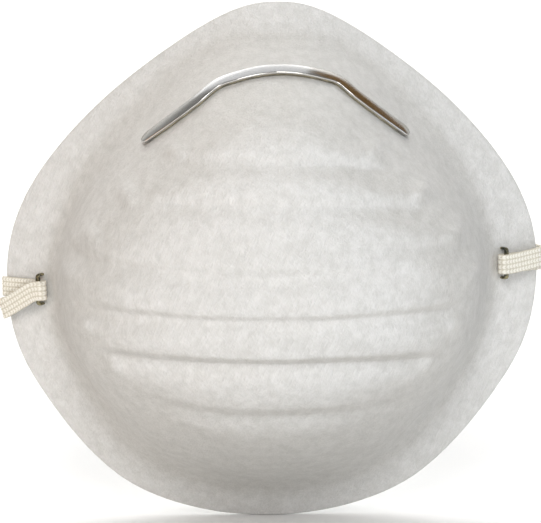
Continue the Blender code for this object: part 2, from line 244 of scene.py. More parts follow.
@dataclass(frozen=True)
class PressedFelt(Finish):
    """Needled polyester felt, moulded hot: matt, faintly fuzzy, with matted fibres that flow."""

    shade: str = "#d9d7d1"
    clump: float = 2.6           # millimetres between slightly darker matted tufts
    fibre: float = 0.34          # width of a bundle of fibres, drawn coarser than the real 0.05
    fibre_length: float = 2.6
    bump: float = 0.22           # millimetres of height that the fibres give
    painted_wall_shade: str = "#f1f0ee"       # painted shade: darkens the steep walls, where light falls off

    def build(self) -> bpy.types.Material:
        """Return the felt material."""
        material, tree, shader = self.start()
        place = add_node(tree, "ShaderNodeTexCoord").outputs["Object"]
        flows = []
        for turn in (68.0, 38.0, 112.0):
            laid = add_node(tree, "ShaderNodeMapping", {
                "Vector": place,
                "Rotation": (0.0, math.radians(turn), 0.0),
                "Scale": (self.fibre_length * MM, self.fibre * MM, self.fibre * MM),
            }, vector_type="TEXTURE")
            flows.append(add_node(tree, "ShaderNodeTexNoise", {
                "Vector": laid.outputs["Vector"],
                "Scale": 1.0,
                "Detail": 2.0,
                "Roughness": 0.55,
                "Distortion": 0.7,
            }).outputs["Fac"])
        crossed = add_node(tree, "ShaderNodeMath", {0: flows[0], 1: flows[1]}, operation="MAXIMUM")
        matted = add_node(tree, "ShaderNodeMath", {
            0: crossed.outputs[0], 1: flows[2],
        }, operation="ADD").outputs[0]
        tufts = add_node(tree, "ShaderNodeTexNoise", {
            "Vector": place,
            "Scale": per_mm(self.clump),
            "Detail": 2.0,
        }).outputs["Fac"]
        height = add_node(tree, "ShaderNodeMath", {0: matted, 1: tufts}, operation="ADD").outputs[0]
        tint = add_node(tree, "ShaderNodeMapRange", {
            "Value": height, "From Min": 1.25, "From Max": 1.85,
        })
        colour = add_node(tree, "ShaderNodeMix", {
            0: tint.outputs["Result"],
            6: linear_colour(self.shade),
            7: linear_colour(self.colour),
        }, data_type="RGBA")
        # Painted shade: where the normal's Y turns from 0.90 down to 0.72, the colour is multiplied
        # towards painted_wall_shade, standing in for light falling off on the steep walls.
        facing = add_node(tree, "ShaderNodeTexCoord").outputs["Normal"]
        slope = add_node(tree, "ShaderNodeMath", {
            0: add_node(tree, "ShaderNodeSeparateXYZ", {0: facing}).outputs["Y"],
        }, operation="ABSOLUTE")
        wall_shade_mask = add_node(tree, "ShaderNodeMapRange", {
            "Value": slope.outputs[0], "From Min": 0.90, "From Max": 0.72,
        })
        wall_shaded_colour = add_node(tree, "ShaderNodeMix", {
            0: wall_shade_mask.outputs["Result"],
            6: colour.outputs[2],
            7: linear_colour(self.painted_wall_shade),
        }, data_type="RGBA", blend_type="MULTIPLY")
        tree.links.new(wall_shaded_colour.outputs[2], shader.inputs["Base Color"])
        fuzz = add_node(tree, "ShaderNodeBump", {
            "Height": height, "Strength": 1.0, "Distance": self.bump * MM,
        })
        tree.links.new(fuzz.outputs["Normal"], shader.inputs["Normal"])
        return material


@dataclass(frozen=True)
class PointBondedWeb(Finish):
    """Spun-bonded polypropylene web: smooth, slightly glossy, with rows of tiny welded points."""

    shade: str = "#cfd3d6"
    pitch: float = 1.3           # millimetres between welded points
    depth: float = 0.10

    def build(self) -> bpy.types.Material:
        """Return the web material."""
        material, tree, shader = self.start()
        place = add_node(tree, "ShaderNodeTexCoord").outputs["Object"]
        rows = []
        for turn in (45.0, -45.0):
            laid = add_node(tree, "ShaderNodeMapping", {
                "Vector": place, "Rotation": (0.0, math.radians(turn), 0.0),
            }, vector_type="TEXTURE")
            rows.append(add_node(tree, "ShaderNodeTexWave", {
                "Vector": laid.outputs["Vector"],
                "Scale": per_mm(self.pitch) / 20 * math.pi,
                "Distortion": 0.35,
                "Detail": 1.0,
            }).outputs["Fac"])
        points = add_node(tree, "ShaderNodeMath", {0: rows[0], 1: rows[1]}, operation="MULTIPLY")
        wisps = add_node(tree, "ShaderNodeTexNoise", {
            "Vector": place, "Scale": per_mm(2.6), "Detail": 4.0, "Distortion": 1.2,
        }).outputs["Fac"]
        tint = add_node(
            tree, "ShaderNodeMath", {0: points.outputs[0], 1: wisps}, operation="MULTIPLY"
        )
        colour = add_node(tree, "ShaderNodeMix", {
            0: tint.outputs[0],
            6: linear_colour(self.colour),
            7: linear_colour(self.shade),
        }, data_type="RGBA")
        tree.links.new(colour.outputs[2], shader.inputs["Base Color"])
        height = add_node(
            tree, "ShaderNodeMath", {0: wisps, 1: points.outputs[0]}, operation="SUBTRACT"
        )
        welded = add_node(tree, "ShaderNodeBump", {
            "Height": height.outputs[0], "Strength": 0.7, "Distance": self.depth * MM,
        })
        tree.links.new(welded.outputs["Normal"], shader.inputs["Normal"])
        return material


@dataclass(frozen=True)
class RolledAluminium(Finish):
    """Soft aluminium strip, rolled and slit: bright, with fine lines along its length."""

    line: float = 0.16           # millimetres between rolling lines, across the strip
    line_length: float = 14.0
    rough_spread: float = 0.10

    def build(self) -> bpy.types.Material:
        """Return the strip material."""
        material, tree, shader = self.start()
        along = add_node(tree, "ShaderNodeUVMap", uv_map=ROUTE_MAP).outputs["UV"]
        laid = add_node(tree, "ShaderNodeMapping", {
            "Vector": along, "Scale": (self.line_length * MM, self.line * MM, 1.0),
        }, vector_type="TEXTURE")
        lines = add_node(tree, "ShaderNodeTexNoise", {
            "Vector": laid.outputs["Vector"], "Scale": 1.0, "Detail": 4.0, "Roughness": 0.6,
        }).outputs["Fac"]
        rough = add_node(tree, "ShaderNodeMapRange", {
            "Value": lines,
            "From Min": 0.3,
            "From Max": 0.7,
            "To Min": self.roughness - self.rough_spread / 2,
            "To Max": self.roughness + self.rough_spread / 2,
        })
        tree.links.new(rough.outputs["Result"], shader.inputs["Roughness"])
        rolled = add_node(tree, "ShaderNodeBump", {
            "Height": lines, "Strength": 0.5, "Distance": 0.02 * MM,
        })
        tree.links.new(rolled.outputs["Normal"], shader.inputs["Normal"])
        return material


@dataclass(frozen=True)
class HotMelt(Finish):
    """Hot-melt glue bead: milky, waxy and uneven where it squeezed out."""

    shade: str = "#cfc3a0"

    def build(self) -> bpy.types.Material:
        """Return the glue material."""
        material, tree, shader = self.start()
        place = add_node(tree, "ShaderNodeTexCoord").outputs["Object"]
        cloud = add_node(tree, "ShaderNodeTexNoise", {
            "Vector": place, "Scale": per_mm(1.8), "Detail": 3.0,
        }).outputs["Fac"]
        colour = add_node(tree, "ShaderNodeMix", {
            0: cloud, 6: linear_colour(self.shade), 7: linear_colour(self.colour),
        }, data_type="RGBA")
        tree.links.new(colour.outputs[2], shader.inputs["Base Color"])
        lumps = add_node(tree, "ShaderNodeBump", {
            "Height": cloud, "Strength": 0.6, "Distance": 0.1 * MM,
        })
        tree.links.new(lumps.outputs["Normal"], shader.inputs["Normal"])
        return material


@dataclass(frozen=True)
class GalvanisedWire(Finish):
    """Galvanised steel staple wire: dull olive-grey zinc with darker drawn patches."""

    shade: str = "#4a4c46"

    def build(self) -> bpy.types.Material:
        """Return the wire material."""
        material, tree, shader = self.start()
        place = add_node(tree, "ShaderNodeTexCoord").outputs["Object"]
        bloom = add_node(tree, "ShaderNodeTexNoise", {
            "Vector": place, "Scale": per_mm(0.9), "Detail": 4.0,
        }).outputs["Fac"]
        patches = add_node(tree, "ShaderNodeMapRange", {
            "Value": bloom, "From Min": 0.35, "From Max": 0.65,
        })
        colour = add_node(tree, "ShaderNodeMix", {
            0: patches.outputs["Result"],
            6: linear_colour(self.shade),
            7: linear_colour(self.colour),
        }, data_type="RGBA")
        tree.links.new(colour.outputs[2], shader.inputs["Base Color"])
        rough = add_node(tree, "ShaderNodeMapRange", {
            "Value": bloom,
            "To Min": self.roughness + 0.12,
            "To Max": self.roughness - 0.08,
        })
        tree.links.new(rough.outputs["Result"], shader.inputs["Roughness"])
        return material


@dataclass(frozen=True)
class KnittedElastic(Finish):
    """Knitted elastic tape: matt cream yarn over rubber cores, with hairy fine filaments."""

    shade: str = "#d2ccbd"
    wale: float = 1.25           # millimetres across one column of stitches
    stitch: float = 0.9          # millimetres along one stitch
    filament: float = 0.14       # millimetres across a filament, drawn coarser than the real 0.02
    filament_length: float = 0.8

    def build(self) -> bpy.types.Material:
        """Return the tape material."""
        material, tree, shader = self.start()
        along = add_node(tree, "ShaderNodeUVMap", uv_map=ROUTE_MAP).outputs["UV"]
        laid = add_node(tree, "ShaderNodeMapping", {
            "Vector": along,
            "Rotation": (0.0, 0.0, math.radians(24.0)),
            "Scale": (self.filament_length * MM, self.filament * MM, 1.0),
        }, vector_type="TEXTURE")
        hairs = add_node(tree, "ShaderNodeTexNoise", {
            "Vector": laid.outputs["Vector"], "Scale": 1.0, "Detail": 2.0, "Distortion": 0.6,
        }).outputs["Fac"]
        split = add_node(tree, "ShaderNodeSeparateXYZ", {0: along})
        from_seam = add_node(tree, "ShaderNodeMath", {
            0: split.outputs["Y"], 1: self.wale / 2 * MM,
        }, operation="PINGPONG").outputs[0]
        leaned = add_node(tree, "ShaderNodeMath", {
            0: from_seam, 1: 0.6, 2: split.outputs["X"],
        }, operation="MULTIPLY_ADD").outputs[0]
        phase = add_node(tree, "ShaderNodeMath", {
            0: leaned, 1: 2 * math.pi * per_mm(self.stitch),
        }, operation="MULTIPLY").outputs[0]
        loops = add_node(tree, "ShaderNodeMath", {0: phase}, operation="SINE").outputs[0]
        # Painted shade: within 0.3 mm of each seam between the wales the colour is pulled to the shade
        # colour, standing in for the shade in the grooves there.
        seam = add_node(tree, "ShaderNodeMapRange", {
            "Value": from_seam, "From Min": 0.0, "From Max": 0.3 * MM,
        }).outputs["Result"]
        looped = add_node(
            tree, "ShaderNodeMath", {0: loops, 1: 0.22, 2: hairs}, operation="MULTIPLY_ADD"
        )
        tint = add_node(tree, "ShaderNodeMapRange", {
            "Value": looped.outputs[0], "From Min": 0.15, "From Max": 0.62,
        })
        stitch_tint_with_seam_shade = add_node(tree, "ShaderNodeMath", {
            0: tint.outputs["Result"], 1: seam,
        }, operation="MULTIPLY")
        colour = add_node(tree, "ShaderNodeMix", {
            0: stitch_tint_with_seam_shade.outputs[0],
            6: linear_colour(self.shade),
            7: linear_colour(self.colour),
        }, data_type="RGBA")
        tree.links.new(colour.outputs[2], shader.inputs["Base Color"])
        yarn = add_node(tree, "ShaderNodeBump", {
            "Height": hairs, "Strength": 0.6, "Distance": 0.03 * MM,
        })
        tree.links.new(yarn.outputs["Normal"], shader.inputs["Normal"])
        return material


@dataclass(frozen=True)
class PaleFloor(Finish):
    """Plain matt painted board, with a faint mottle."""

    shade: str = "#f0f0ef"

    def build(self) -> bpy.types.Material:
        """Return the floor material."""
        material, tree, shader = self.start()
        place = add_node(tree, "ShaderNodeTexCoord").outputs["Object"]
        mottle = add_node(tree, "ShaderNodeTexNoise", {
            "Vector": place, "Scale": per_mm(60.0), "Detail": 2.0,
        }).outputs["Fac"]
        colour = add_node(tree, "ShaderNodeMix", {
            0: mottle, 6: linear_colour(self.shade), 7: linear_colour(self.colour),
        }, data_type="RGBA")
        tree.links.new(colour.outputs[2], shader.inputs["Base Color"])
        return material


ROUTE_MAP = "route"
FELT = PressedFelt("pressed_polyester_felt", "#e8e7e5", 0.92, shade="#d9d8d5", sheen=0.10)
FILTER_WEB = PressedFelt("melt_blown_filter_web", "#eef1f4", 0.95, shade="#dfe4ea", clump=1.6)
LINER_WEB = PointBondedWeb("spun_bonded_liner_web", "#eceeee", 0.62)
CLIP_METAL = RolledAluminium("rolled_aluminium_strip", "#cfcdc9", 0.17, metallic=1.0)
GLUE = HotMelt("milky_hot_melt", "#e6dcc0", 0.38)
STAPLE_STEEL = GalvanisedWire("galvanised_steel_wire", "#b3ab8c", 0.42, metallic=1.0)
ELASTIC = KnittedElastic("knitted_cream_elastic", "#f4f1e8", 0.88, sheen=0.15)
FLOOR = PaleFloor("pale_painted_board", "#f5f5f4", 0.85)
CARD = PaleFloor("brown_painted_card", "#8f7450", 0.85, shade="#846a46")


def mesh_object(
    name: str,
    points: Array,
    faces: list[tuple[int, ...]],
    material: bpy.types.Material,
    route: Array | None = None,
) -> bpy.types.Object:
    """Make a smooth-shaded object from points in millimetres.

    Args:
        name: The object's name.
        points: Rows of coordinates.
        faces: Indices of each face's corners.
        material: The finish of every face.
        route: Where given, each point's distance along and across the piece, in millimetres.

    Returns:
        The object, linked into the scene.
    """
    mesh = bpy.data.meshes.new(name)
    mesh.from_pydata((points * MM).tolist(), [], faces)
    mesh.shade_smooth()
    mesh.materials.append(material)
    if route is not None:
        corners = np.zeros(len(mesh.loops), dtype=np.int32)
        mesh.loops.foreach_get("vertex_index", corners)
        layer = mesh.uv_layers.new(name=ROUTE_MAP)
        layer.data.foreach_set("uv", (route[corners] * MM).ravel())
    mesh.update()
    item = bpy.data.objects.new(name, mesh)
    bpy.context.collection.objects.link(item)
    return item


def skin(rows: int, columns: int, closed: bool = True, first: int = 0) -> list[tuple[int, ...]]:
    """List the faces between rows of points that lie one after another.

    Args:
        rows: How many rows there are.
        columns: How many points each row has.
        closed: Whether each row is a ring.
        first: Index of the first point.

    Returns:
        Four-cornered faces.
    """
    last = columns if closed else columns - 1
    faces = []
    for row in range(rows - 1):
        for column in range(last):
            after = (column + 1) % columns
            low = first + row * columns
            faces.append((low + column, low + after, low + columns + after, low + columns + column))
    return faces


def fit_to_body(
    item: bpy.types.Object, body: str, nodes: tuple[str, ...]
) -> bpy.types.Object:
    """Make a piece ride on a body and stand for its solids.

    Args:
        item: The piece.
        body: The body it moves with.
        nodes: The solids that it replaces.

    Returns:
        The same piece.
    """
    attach(item, body)
    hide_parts(*nodes)
    LOG.info("%s rides on %s for %s", item.name, body, ", ".join(nodes))
    return item


@dataclass
class CupForm:
    """The cup's smooth outer face, as a depth at every place inside the rim's outline."""

    rim_half: tuple[tuple[float, float], ...] = (
        (0.0, 70.6), (17.8, 65.2), (44.8, 45.0), (63.2, 21.6),
        (68.2, -1.5), (61.2, -26.0), (36.0, -54.0), (0.0, -62.8),
    )
    rim_sweep: float = 4.0
    lean: float = 0.0245         # every point moves right by this share of its height
    side: tuple[tuple[float, float], ...] = (
        (1.0, 0.0), (0.94, 1.4), (0.88, 2.8), (0.835, 4.2), (0.80, 7.0), (0.775, 16.0),
        (0.735, 28.0), (0.63, 36.5), (0.44, 44.0), (0.20, 49.0), (0.0, 49.0),
    )
    nose: tuple[tuple[float, float], ...] = (
        (1.0, 0.0), (0.95, 1.8), (0.89, 4.0), (0.84, 8.0), (0.79, 18.0),
        (0.74, 27.5), (0.62, 38.5), (0.42, 45.5), (0.20, 49.0), (0.0, 49.0),
    )
    chin: tuple[tuple[float, float], ...] = (
        (1.0, 0.0), (0.94, 1.8), (0.88, 4.0), (0.82, 8.0), (0.75, 18.0),
        (0.65, 28.0), (0.50, 38.0), (0.32, 45.5), (0.14, 49.0), (0.0, 49.0),
    )
    blend: tuple[float, float] = (0.20, 0.95)
    swell: float = 0.032
    swell_at: float = 20.0
    swell_spread: float = 14.0
    swell_fade: tuple[float, float] = (0.84, 0.97)
    curve_steps: int = 96
    widest: float = 68.2

    @cached_property
    def rim(self) -> Array:
        """Return the rim's outline, seen from the front."""
        right = list(self.rim_half)
        left = [(-x, z) for x, z in reversed(right[1:-1])]
        return through_points(np.array(right + left), self.curve_steps, closed=True)

    @cached_property
    def rim_by_angle(self) -> tuple[Array, Array]:
        """Return the outline's directions in order and the rim's distance in each."""
        angles = np.arctan2(self.rim[:, 1], self.rim[:, 0])
        order = np.argsort(angles)
        return angles[order], np.hypot(self.rim[:, 0], self.rim[:, 1])[order]

    @cached_property
    def sections(self) -> tuple[Array, ...]:
        """Return the side, nose and chin sections from the crown outwards."""
        return tuple(
            near_points(section, self.curve_steps)[::-1]
            for section in (self.side, self.nose, self.chin)
        )

    def rim_radius(self, angle: Array) -> Array:
        """Return the distance from the origin to the rim in each direction."""
        angles, radii = self.rim_by_angle
        return np.interp(angle, angles, radii, period=2 * math.pi)

    def share(self, x: Array, z: Array) -> Array:
        """Return how far out places lie, as a share of the way to the rim."""
        return np.hypot(x, z) / self.rim_radius(np.arctan2(z, x))

    def points(self, x: Array, z: Array) -> Array:
        """Find the points of the face that lie behind places in the upright front view.

        Args:
            x: Distances to the right.
            z: Heights.

        Returns:
            Rows of points.
        """
        x, z = np.asarray(x, dtype=float), np.asarray(z, dtype=float)
        angle = np.arctan2(z, x)
        radius = self.rim_radius(angle)
        share = np.hypot(x, z) / radius
        from_nose = np.abs(np.degrees(angle) - 90.0)
        swell = self.swell * np.exp(-((from_nose - self.swell_at) / self.swell_spread)**2)
        inner = share * (1.0 - swell * (1.0 - smoothstep(*self.swell_fade, share)))
        to_nose = smoothstep(*self.blend, np.sin(angle))
        to_chin = smoothstep(*self.blend, -np.sin(angle))
        weights = (1.0 - to_nose - to_chin, to_nose, to_chin)
        depth = sum(w * np.interp(inner, s[:, 0], s[:, 1]) for w, s in zip(weights, self.sections))
        sweep = self.rim_sweep * (radius * np.cos(angle) / self.widest)**2 * share**2
        return np.stack([x + self.lean * z, sweep - depth, z], axis=-1)

    def normals(self, x: Array, z: Array) -> Array:
        """Find the outward normals of the face.

        Args:
            x: Distances to the right.
            z: Heights.

        Returns:
            Rows of unit vectors.
        """
        x, z = np.asarray(x, dtype=float), np.asarray(z, dtype=float)
        inwards = np.minimum(1.0, 0.996 / np.maximum(self.share(x, z), 1e-6))
        x, z, step = x * inwards, z * inwards, 0.05
        across = self.points(x + step, z) - self.points(x - step, z)
        up = self.points(x, z + step) - self.points(x, z - step)
        return unit(np.cross(across, up))

    def shares(self, count: int, rim_share: float) -> Array:
        """Return shares of the radius for rings at equal distances along the side section."""
        section = self.sections[0][::-1] * np.array([self.widest, 1.0])
        section = section[section[:, 0] <= rim_share * self.widest]
        return spread(section, count + 1)[:-1, 0] / self.widest


@dataclass(frozen=True)
class Groove:
    """A pressed groove under a rib: its heights, ends and depths from left to right."""

    left: tuple[float, float]
    middle: float
    right: tuple[float, float]
    depths: tuple[float, float, float]
    centre: float = 0.0
    upper_width: float = 1.6     # the upper side is sharp
    lower_width: float = 3.4     # and the lower side slow
    fade_before: float = 7.0     # it fades from this far before its end
    fade_past: float = 3.0       # to this far past it

    def dip(self, x: Array, z: Array) -> Array:
        """Find how deep the groove is at places in the front view.

        Args:
            x: Distances to the right.
            z: Heights.

        Returns:
            Depths in millimetres.
        """
        reach = np.where(x < self.centre, self.left[0], self.right[0]) - self.centre
        height = np.where(x < self.centre, self.left[1], self.right[1])
        part = (x - self.centre) / reach
        line = self.middle + (height - self.middle) * part**2
        ends = np.where(x < self.centre, self.depths[0], self.depths[2])
        depth = self.depths[1] + (ends - self.depths[1]) * smoothstep(0.1, 0.8, part)
        span = np.abs(reach)
        fade = smoothstep(1.0 - self.fade_before / span, 1.0 + self.fade_past / span, part)
        depth = depth * (1.0 - fade)
        width = np.where(z > line, self.upper_width, self.lower_width)
        return depth * np.exp(-((z - line) / width)**2)


@dataclass
class RibRelief:
    """The grooves between the stiffening ribs and the bosses where each rib ends."""

    grooves: tuple[Groove, ...] = (
        Groove((-30.0, 35.0), 35.5, (30.0, 31.5), (0.55, 0.95, 1.05)),
        Groove((-29.0, 25.0), 25.5, (39.0, 22.5), (0.70, 0.60, 1.00)),
        Groove((-52.0, 11.0), 8.5, (36.0, 8.5), (1.00, 1.00, 0.70)),
        Groove((19.0, 15.0), 14.0, (52.0, 9.0), (0.50, 0.70, 0.80), centre=34.0),
        Groove((-50.0, -1.5), -2.5, (50.0, -2.5), (1.20, 1.30, 1.15)),
        Groove((-44.0, -13.0), -13.5, (43.0, -15.0), (1.20, 1.50, 1.30)),
        Groove((-33.0, -24.5), -27.5, (36.0, -26.0), (0.45, 0.75, 0.45)),
    )
    boss_top: float = 37.0       # height of the uppermost row of bosses
    boss_pitch: float = 10.65
    boss_widest: float = 5.0     # the rows end on a rounded diamond, widest at this height
    boss_half: float = 49.4
    boss_reach_up: float = 50.0
    boss_reach_down: float = 60.0
    boss_rounding: float = 1.5
    boss_proud: tuple[float, ...] = (0.9, 1.2, 1.15, 1.1, 1.0, 0.7)      # row by row, downwards
    boss_radius: float = 2.3

    def bosses(self) -> list[tuple[float, float, float]]:
        """Place the bosses on both sides, row by row.

        Returns:
            (x, z, how far it stands proud) of each.
        """
        places = []
        for row, proud in enumerate(self.boss_proud):
            z = self.boss_top - row * self.boss_pitch
            reach = self.boss_reach_up if z > self.boss_widest else self.boss_reach_down
            share = abs(z - self.boss_widest) / reach
            x = self.boss_half * (1.0 - share**self.boss_rounding)
            places += [(-x, z, proud), (x, z, proud)]
        return places

    def height(self, x: Array, z: Array) -> Array:
        """Find how far the pressed pattern stands proud of the smooth face.

        Args:
            x: Distances to the right.
            z: Heights.

        Returns:
            Heights in millimetres, below zero in the grooves.
        """
        rise = np.zeros_like(x)
        for groove in self.grooves:
            rise -= groove.dip(x, z)
        for boss_x, boss_z, proud in self.bosses():
            rise += proud * np.exp(-((x - boss_x)**2 + (z - boss_z)**2) / self.boss_radius**2)
        return rise


@dataclass
class PressedLayer:
    """One pressed layer of the cup, as a closed skin with a rounded cut edge."""

    form: CupForm
    relief: RibRelief
    layer: Layer
    outside: float               # depth of its outer face below the cup's face, in millimetres
    inside: float
    finish: Finish
    slot: str
    segments: int = 384
    rings_out: int = 170
    rings_in: int = 34
    relief_out: float = 1.0
    relief_in: float = 1.0
    lump: float = 0.0            # height of the felt's unevenness
    rim_pinch: float = 0.62      # the layers are pressed to this share of their depth at the rim
    pinch_from: float = 0.955
    edge_steps: int = 5

    def depth_at(self, share: Array, depth: float) -> Array:
        """Return a layer's depth below the face, pinched near the rim."""
        pinch = 1.0 - (1.0 - self.rim_pinch) * smoothstep(self.pinch_from, 0.99, share)
        return depth * pinch

    def unevenness(self, points: Array, share: Array) -> Array:
        """Find the felt's lumps and matted flow, lower on the smoother flange.

        Args:
            points: Rows of points.
            share: How far out each lies.

        Returns:
            Heights in millimetres.
        """
        calm = 1.0 - 0.55 * smoothstep(0.72, 0.86, share)
        rise = np.empty(len(points))
        for index, (x, y, z) in enumerate(points.tolist()):
            broad = noise.noise(Vector((x / 9.0, y / 9.0, z / 9.0)))
            flow = noise.noise(Vector(((0.85 * x - 0.5 * z) / 1.3, y / 1.6, (0.5 * x + 0.85 * z) / 3.6)))
            crossing = noise.noise(Vector(((x + z) / 1.5, y / 1.5 + 40.0, (x - z) / 3.0)))
            rise[index] = 0.8 * broad + 0.55 * flow + 0.42 * crossing
        return self.lump * calm * rise

    def face(self, shares: Array, depth: float, relief: float, lump: bool) -> tuple[Array, Array]:
        """Lay out rings of points over one face.

        Args:
            shares: How far out each ring lies.
            depth: Depth below the cup's smooth face.
            relief: Share of the ribs' relief that this face shows.
            lump: Whether the felt's unevenness is added.

        Returns:
            Rings of points and of outward normals.
        """
        angles = 2 * math.pi * np.arange(self.segments) / self.segments
        radius = self.form.rim_radius(angles)
        x = np.outer(shares, radius * np.cos(angles)).ravel()
        z = np.outer(shares, radius * np.sin(angles)).ravel()
        share = np.repeat(shares, self.segments)
        points, normals = self.form.points(x, z), self.form.normals(x, z)
        rise = relief * self.relief.height(x, z) - self.depth_at(share, depth)
        if lump:
            rise = rise + self.unevenness(points, share)
        points = points + normals * rise[:, None]
        shape = (len(shares), self.segments, 3)
        return points.reshape(shape), normals.reshape(shape)

    def build(self) -> bpy.types.Object:
        """Make the layer: outer face, rounded edge and inner face in one closed skin."""
        edge = self.depth_at(np.array([1.0]), self.inside - self.outside)[0] / 2
        rim_share = 1.0 - edge / self.form.widest
        shares_out = self.form.shares(self.rings_out, rim_share)[::-1]
        shares_in = self.form.shares(self.rings_in, rim_share)
        front, normals = self.face(shares_out, self.outside, self.relief_out, self.lump > 0)
        back, _ = self.face(shares_in, self.inside, self.relief_in, False)
        middle = (front[-1] + back[0]) / 2
        outwards = unit(front[-1] - front[-2])
        thickness = (front[-1] - back[0]) / 2
        turn = np.linspace(0.0, math.pi, self.edge_steps + 2)[1:-1]
        rounded = [
            middle + thickness * math.cos(t) + outwards * (edge * math.sin(t)) for t in turn
        ]
        rings = np.concatenate([front, np.array(rounded), back])
        count = len(rings) * self.segments
        zero = np.zeros(1)
        crown_in = self.form.points(zero, zero) + [[0.0, self.inside, 0.0]]
        crown_out = np.mean(front[0], axis=0, keepdims=True)
        points = np.vstack([rings.reshape(-1, 3), crown_out, crown_in])
        faces = skin(len(rings), self.segments)
        last = count - self.segments
        for index in range(self.segments):
            after = (index + 1) % self.segments
            faces.append((index, count, after))
            faces.append((last + index, last + after, count + 1))
        faces = [corners[::-1] for corners in faces]
        item = mesh_object(f"{self.layer.value}_pressed", points, faces, self.finish.build())
        return fit_to_body(item, "mask", (self.layer.value,))


@dataclass
class Strip:
    """A flat strip that follows a route over the cup: the clip, or the glue bead under it."""

    form: CupForm
    name: str
    node: str
    slot: str
    finish: Finish
    width: float
    thick: float
    height: float                # height of its middle above the cup's face
    margin: float = 0.0
    corner: float = 0.24         # radius of the slit edges
    ripple: float = 0.0          # unevenness of its width
    stations: int = 220
    left_tip: tuple[float, float] = (-32.0, 37.5)
    left_crease: tuple[float, float] = (-14.0, 51.5)
    crest: tuple[float, float] = (0.0, 54.8)
    right_crease: tuple[float, float] = (15.0, 52.0)
    right_tip: tuple[float, float] = (32.5, 38.5)
    wing_shares: tuple[float, ...] = (0.0, 0.4, 0.75)
    arch_points: int = 7

    def route(self) -> Array:
        """Lay out its middle over the cup: a straight wing, an arched middle, a straight wing.

        Returns:
            Rows of (x, z) from the left tip to the right one.
        """
        knots = np.array([self.left_crease, self.crest, self.right_crease])
        arch = np.polyfit(knots[:, 0], knots[:, 1], 2)
        across = np.linspace(knots[0, 0], knots[2, 0], self.arch_points)
        shares = np.array(self.wing_shares)[:, None]
        left, right = np.array(self.left_tip), np.array(self.right_tip)
        return np.vstack([
            left + (knots[0] - left) * shares,
            np.column_stack([across, np.polyval(arch, across)]),
            (right + (knots[2] - right) * shares)[::-1],
        ])

    def section(self, half: float, thick: float) -> Array:
        """Lay out a rounded rectangle.

        Args:
            half: Half its width.
            thick: Its thickness.

        Returns:
            Rows of (across, up).
        """
        radius = min(self.corner, half * 0.9)
        rise = min(radius, thick / 2 * 0.9)
        corners = []
        for quarter, (side, top) in enumerate(((1, 1), (-1, 1), (-1, -1), (1, -1))):
            for part in range(4):
                turn = math.radians(90 * quarter + 30 * part)
                corners.append((
                    side * (half - radius) + radius * math.cos(turn),
                    top * (thick / 2 - rise) + rise * math.sin(turn),
                ))
        return np.array(corners)

    def build(self) -> bpy.types.Object:
        """Sweep the section along the route, with half-round ends."""
        plan = spread(through_points(self.route(), 24), 400)
        centres = self.form.points(*plan.T) + self.form.normals(*plan.T) * self.height
        along = travelled(centres)
        first, last, radius = self.margin, along[-1] - self.margin, self.width / 2
        swing = np.linspace(0.0, math.pi / 2, 9)
        ends = radius * (1.0 - np.cos(swing))
        cuts = np.concatenate([
            first + ends, np.linspace(first + radius, last - radius, self.stations)[1:-1],
            (last - ends)[::-1],
        ])
        x, z = (np.interp(cuts, along, axis) for axis in plan.T)
        normals = self.form.normals(x, z)
        middle = self.form.points(x, z) + normals * self.height
        tangents = unit(np.gradient(middle, axis=0))
        across = unit(np.cross(normals, tangents))
        from_end = np.clip(np.minimum(cuts - first, last - cuts), 0.0, radius)
        halves = np.sqrt(np.maximum(radius**2 - (radius - from_end)**2, 0.0)) + 0.02
        rows, route = [], []
        for index, half in enumerate(halves):
            wave = 1.0 + self.ripple * noise.noise(Vector((cuts[index] / 2.1, 7.0, 0.0)))
            section = self.section(half * wave, self.thick)
            wide, up = section[:, :1] * across[index], section[:, 1:] * normals[index]
            rows.append(middle[index] + wide + up)
            route.append(np.column_stack([np.full(len(section), cuts[index]), section[:, 0]]))
        sides = len(rows[0])
        faces = skin(len(rows), sides)
        faces.append(tuple(range(sides))[::-1])
        faces.append(tuple(range((len(rows) - 1) * sides, len(rows) * sides)))
        item = mesh_object(
            self.name, np.vstack(rows), faces, self.finish.build(), np.vstack(route)
        )
        item.data.set_sharp_from_angle(angle=math.radians(50))
        return fit_to_body(item, "mask", (self.node,))


@dataclass
class StapleSeat:
    """Where a staple sits on the flange, with its outward, crown and normal directions."""

    form: CupForm
    place: tuple[float, float]

    @cached_property
    def normal(self) -> Array:
        """Return the flange's outward normal at the staple."""
        x, z = self.place
        return self.form.normals(np.array([x]), np.array([z]))[0]

    @cached_property
    def middle(self) -> Array:
        """Return the point of the flange under the crown's middle."""
        x, z = self.place
        return self.form.points(np.array([x]), np.array([z]))[0]

    @cached_property
    def outward(self) -> Array:
        """Return the direction along the flange towards the rim."""
        out = unit(np.cross([0.0, 0.0, 1.0], self.normal))
        return out if out[0] * self.place[0] > 0 else -out

    @cached_property
    def crown(self) -> Array:
        """Return the direction along the staple's crown."""
        up = np.array([0.0, 0.0, 1.0])
        return unit(up - self.normal * (up @ self.normal))

    def at(self, out: float, along: float, height: float) -> Array:
        """Return the point at distances outward, along the crown and above the flange."""
        return self.middle + self.outward * out + self.crown * along + self.normal * height


